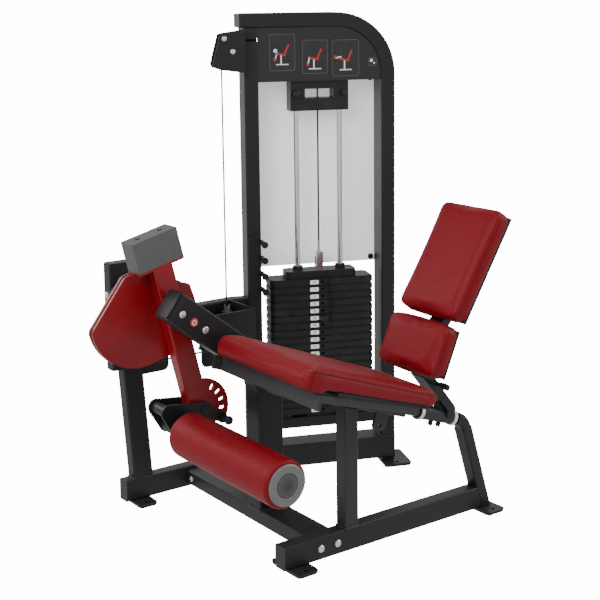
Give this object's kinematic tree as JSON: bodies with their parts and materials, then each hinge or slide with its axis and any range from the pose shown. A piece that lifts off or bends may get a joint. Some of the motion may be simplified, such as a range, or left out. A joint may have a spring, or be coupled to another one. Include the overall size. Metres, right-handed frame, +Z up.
{
  "type": "leg extension machine",
  "caption": "Seated leg extension machine with a tilted padded seat, sliding back pads, foam ankle roller on a cam lever, and a cable-driven weight stack in an upright tower.",
  "frame": {"origin": "centre of the underside of the near front foot, on the floor", "axes": "+X to the sitter's left-hand open side, away from the weight tower; +Y to the rear, the sitter faces -Y; +Z up"},
  "size_m": [1.0329, 1.3179, 1.65],
  "materials": {
    "frame_black": "satin powder coat",
    "frame_grey": "satin powder coat",
    "steel_red": "gloss powder coat",
    "weight_black": "textured paint",
    "counterweight_grey": "satin paint",
    "chrome": "chrome plated",
    "rubber": "matt",
    "plastic_black": "satin",
    "plastic_red": "satin",
    "nylon_grey": "satin",
    "cap_grey": "satin",
    "panel_white": "satin",
    "board": "painted",
    "upholstery_red": "grained vinyl over foam",
    "cable_black": "coated wire rope"
  },
  "bodies": {
    "frame": {"near_rail": "frame_black", "cross_rail": "frame_black", "left_rail": "frame_black", "foot_plates": "frame_black", "rubber_feet": "rubber", "near_post": "frame_grey", "seat_leg": "frame_black", "front_post": "frame_black", "bearing_box": "frame_black", "upper_beam": "frame_black", "pulley_bracket": "frame_black", "rear_leg": "frame_black", "seat_tube": "frame_grey", "seat_cross_rail": "frame_grey", "seat_board": "board", "seat_cushion": "upholstery_red", "pivot_bearings": "frame_black", "tower_base_rail": "frame_black", "tower_upright": "frame_black", "tower_bent_tube": "frame_black", "stack_base_beam": "frame_black", "end_caps": "plastic_black", "placard": "plastic_black", "rear_panel": "panel_white", "accessory_rack": "frame_black", "top_hanger": "frame_black", "guide_rods": "chrome", "stack_bumpers": "rubber", "resting_plates": "weight_black", "top_housing": "frame_black", "frame_bolts": "chrome", "frame_cable": "cable_black", "addon_upper": "weight_black"},
    "lever": {"lever_arm": "steel_red", "cam": "steel_red", "counterweight": "counterweight_grey", "pivot_shaft": "chrome", "cam_cable": "cable_black"},
    "bracket": {"roller_bracket": "frame_black"},
    "roller": {"foam_roller": "upholstery_red", "roller_core": "cap_grey"},
    "sector_pin": {"pull_pin": "plastic_black"},
    "stack": {"head_plate": "weight_black", "lifted_plates": "weight_black", "selector_stem": "chrome", "stack_cable": "cable_black", "lanyard": "plastic_black"},
    "weight_pin": {"selector_pin": "plastic_red"},
    "addon": {"addon_lower": "weight_black"},
    "addon_pin_lower": {"lower_knob": "plastic_black"},
    "addon_pin_upper": {"upper_knob": "plastic_black"},
    "back": {"back_carriage": "frame_black", "back_boards": "board", "upper_pad": "upholstery_red", "lower_pad": "upholstery_red"},
    "handle": {"adjust_handle": "plastic_black"},
    "pulley_over": {"over_stack_pulley": "nylon_grey"},
    "pulley_front": {"front_pulley": "nylon_grey"},
    "pulley_low": {"lower_pulley": "nylon_grey"},
    "pulley_guide": {"guide_pulley": "nylon_grey"}
  },
  "joints": [
    {"name": "lever_hinge", "type": "hinge", "parent": "frame", "child": "lever", "pos_m": [-0.45, -0.168, 0.736], "axis": [-1, 0, 0], "range_deg": [0, 90]},
    {"name": "roller_position_hinge", "type": "hinge", "parent": "lever", "child": "bracket", "pos_m": [-0.42, -0.07394, 0.41321], "axis": [1, 0, 0], "range_deg": [0, 88]},
    {"name": "roller_spin", "type": "hinge", "parent": "bracket", "child": "roller", "pos_m": [-0.065, -0.16694, 0.36664], "axis": [1, 0, 0], "continuous": true},
    {"name": "sector_pin_pull", "type": "slide", "parent": "bracket", "child": "sector_pin", "axis": [1, 0, 0], "range_m": [-0.0083, 0.0057], "stiffness_N_per_m": 400},
    {"name": "stack_lift", "type": "slide", "parent": "frame", "child": "stack", "axis": [0, 0, 1], "range_m": [0, 0.24], "deforming": ["stack_cable"]},
    {"name": "selector_pin_pull", "type": "slide", "parent": "stack", "child": "weight_pin", "axis": [0.9265, -0.3762, 0], "range_m": [0, 0.085]},
    {"name": "addon_drop", "type": "slide", "parent": "frame", "child": "addon", "axis": [0, 0, -1], "range_m": [0, 0.2]},
    {"name": "lower_knob_pull", "type": "slide", "parent": "addon", "child": "addon_pin_lower", "axis": [0.9265, -0.3762, 0], "range_m": [0, 0.012], "stiffness_N_per_m": 300, "springref_m": -0.008},
    {"name": "upper_knob_pull", "type": "slide", "parent": "frame", "child": "addon_pin_upper", "axis": [0.9265, -0.3762, 0], "range_m": [0, 0.012], "stiffness_N_per_m": 300, "springref_m": -0.008},
    {"name": "back_slide", "type": "slide", "parent": "frame", "child": "back", "axis": [0, -0.9455, 0.3256], "range_m": [0, 0.06]},
    {"name": "handle_turn", "type": "hinge", "parent": "back", "child": "handle", "pos_m": [0.04, 0.49978, 0.51797], "axis": [1, 0, 0], "range_deg": [0, 30], "stiffness_Nm_per_rad": 0.6, "springref_deg": -11.46},
    {"name": "over_stack_pulley_spin", "type": "hinge", "parent": "frame", "child": "pulley_over", "pos_m": [-0.64928, 0.54192, 1.523], "axis": [0.9738, -0.2274, 0], "range_deg": [0, 400]},
    {"name": "front_pulley_spin", "type": "hinge", "parent": "frame", "child": "pulley_front", "pos_m": [-0.71325, 0.26798, 1.523], "axis": [0.9738, -0.2274, 0], "range_deg": [0, 400]},
    {"name": "lower_pulley_spin", "type": "hinge", "parent": "frame", "child": "pulley_low", "pos_m": [-0.6903, 0.21487, 0.61421], "axis": [-0.5016, -0.8651, 0], "range_deg": [0, 400]},
    {"name": "guide_pulley_spin", "type": "hinge", "parent": "frame", "child": "pulley_guide", "pos_m": [-0.495, 0.06, 0.57821], "axis": [0, 0, -1], "range_deg": [0, 400]}
  ],
  "couplings": [
    {"joint": "stack_lift", "follows": "lever_hinge", "m_per_rad": 0.15},
    {"joint": "over_stack_pulley_spin", "follows": "lever_hinge", "ratio": 4.1667},
    {"joint": "front_pulley_spin", "follows": "lever_hinge", "ratio": 4.1667},
    {"joint": "lower_pulley_spin", "follows": "lever_hinge", "ratio": 4.1667},
    {"joint": "guide_pulley_spin", "follows": "lever_hinge", "ratio": 4.1667}
  ]
}
